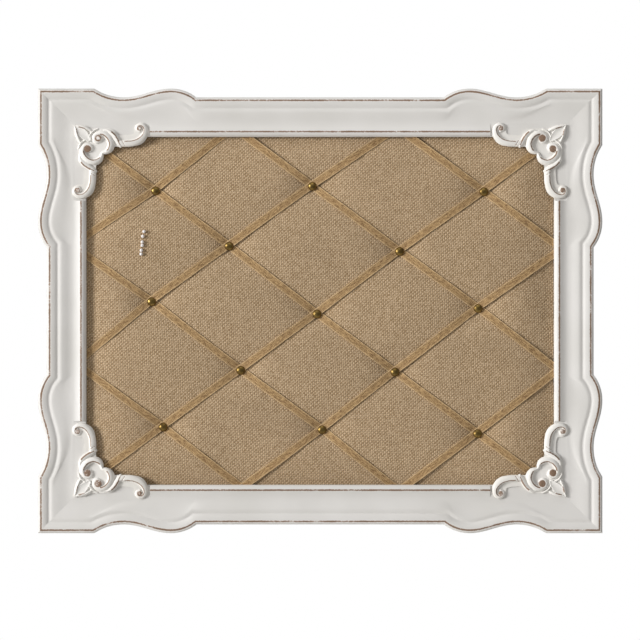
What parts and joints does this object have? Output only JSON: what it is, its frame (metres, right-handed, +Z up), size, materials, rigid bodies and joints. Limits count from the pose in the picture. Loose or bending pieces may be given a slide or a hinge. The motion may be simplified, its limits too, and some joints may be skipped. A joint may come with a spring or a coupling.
{
  "type": "bulletin board",
  "caption": "Padded bulletin board: quilted burlap crossed by nailed ribbons in a carved, wavy-edged, worn white frame with scrolled corners, pearl-headed pins and wall hangers.",
  "frame": {"origin": "middle of the backing's rear face", "axes": "+X to the viewer's right, +Y into the wall, +Z up; the front faces -Y"},
  "size_m": [0.711, 0.0315, 0.56],
  "materials": {
    "painted_wood": "satin white paint, worn to brown on the edges",
    "carved_paint": "satin white paint, worn to brown on the ridges",
    "burlap": "coarse plain weave",
    "batting": "loose fibre",
    "fibreboard": "raw soft fibreboard",
    "hardboard": "smooth brown hardboard",
    "jute_tape": "woven tape",
    "antique_brass": "aged, half gloss",
    "pearl": "pearl lustre",
    "steel": "zinc plated",
    "rubber": "matt"
  },
  "bodies": {
    "board": {"top_rail": "painted_wood", "bottom_rail": "painted_wood", "left_stile": "painted_wood", "right_stile": "painted_wood", "top_left_ornament": "carved_paint", "top_left_v_nail": "steel", "top_right_ornament": "carved_paint", "top_right_v_nail": "steel", "bottom_right_ornament": "carved_paint", "bottom_right_v_nail": "steel", "bottom_left_ornament": "carved_paint", "bottom_left_v_nail": "steel", "pin_board": "fibreboard", "batting_pad": "batting", "burlap_cover": "burlap", "falling_ribbon_1": "jute_tape", "rising_ribbon_1": "jute_tape", "falling_ribbon_2": "jute_tape", "rising_ribbon_2": "jute_tape", "falling_ribbon_3": "jute_tape", "rising_ribbon_3": "jute_tape", "falling_ribbon_4": "jute_tape", "rising_ribbon_4": "jute_tape", "falling_ribbon_5": "jute_tape", "rising_ribbon_5": "jute_tape", "nail_1": "antique_brass", "nail_2": "antique_brass", "nail_3": "antique_brass", "nail_4": "antique_brass", "nail_5": "antique_brass", "nail_6": "antique_brass", "nail_7": "antique_brass", "nail_8": "antique_brass", "nail_9": "antique_brass", "nail_10": "antique_brass", "nail_11": "antique_brass", "nail_12": "antique_brass", "nail_13": "antique_brass", "backing_board": "hardboard", "backing_screw_1": "steel", "backing_screw_2": "steel", "backing_screw_3": "steel", "backing_screw_4": "steel", "backing_screw_5": "steel", "backing_screw_6": "steel", "left_hanger_strap": "steel", "left_hanger_screw": "steel", "left_bumper": "rubber", "right_hanger_strap": "steel", "right_hanger_screw": "steel", "right_bumper": "rubber"},
    "left_ring": {"left_d_ring": "steel"},
    "right_ring": {"right_d_ring": "steel"},
    "pin_1": {"pearl_pin_1": "pearl"},
    "pin_2": {"pearl_pin_2": "pearl"},
    "pin_3": {"pearl_pin_3": "pearl"},
    "pin_4": {"pearl_pin_4": "pearl"},
    "pin_5": {"pearl_pin_5": "pearl"},
    "pin_6": {"pearl_pin_6": "pearl"}
  },
  "joints": [
    {"name": "left_ring_swing", "type": "hinge", "parent": "board", "child": "left_ring", "pos_m": [-0.333, -0.00045, 0.128], "axis": [1, 0, 0], "range_deg": [0, 180]},
    {"name": "right_ring_swing", "type": "hinge", "parent": "board", "child": "right_ring", "pos_m": [0.333, -0.00045, 0.128], "axis": [1, 0, 0], "range_deg": [0, 180]},
    {"name": "pin_1_pull", "type": "slide", "parent": "board", "child": "pin_1", "axis": [0, -1, 0], "range_m": [0, 0.03]},
    {"name": "pin_2_pull", "type": "slide", "parent": "board", "child": "pin_2", "axis": [0, -1, 0], "range_m": [0, 0.03]},
    {"name": "pin_3_pull", "type": "slide", "parent": "board", "child": "pin_3", "axis": [0, -1, 0], "range_m": [0, 0.03]},
    {"name": "pin_4_pull", "type": "slide", "parent": "board", "child": "pin_4", "axis": [0, -1, 0], "range_m": [0, 0.03]},
    {"name": "pin_5_pull", "type": "slide", "parent": "board", "child": "pin_5", "axis": [0, -1, 0], "range_m": [0, 0.03]},
    {"name": "pin_6_pull", "type": "slide", "parent": "board", "child": "pin_6", "axis": [0, -1, 0], "range_m": [0, 0.03]}
  ]
}
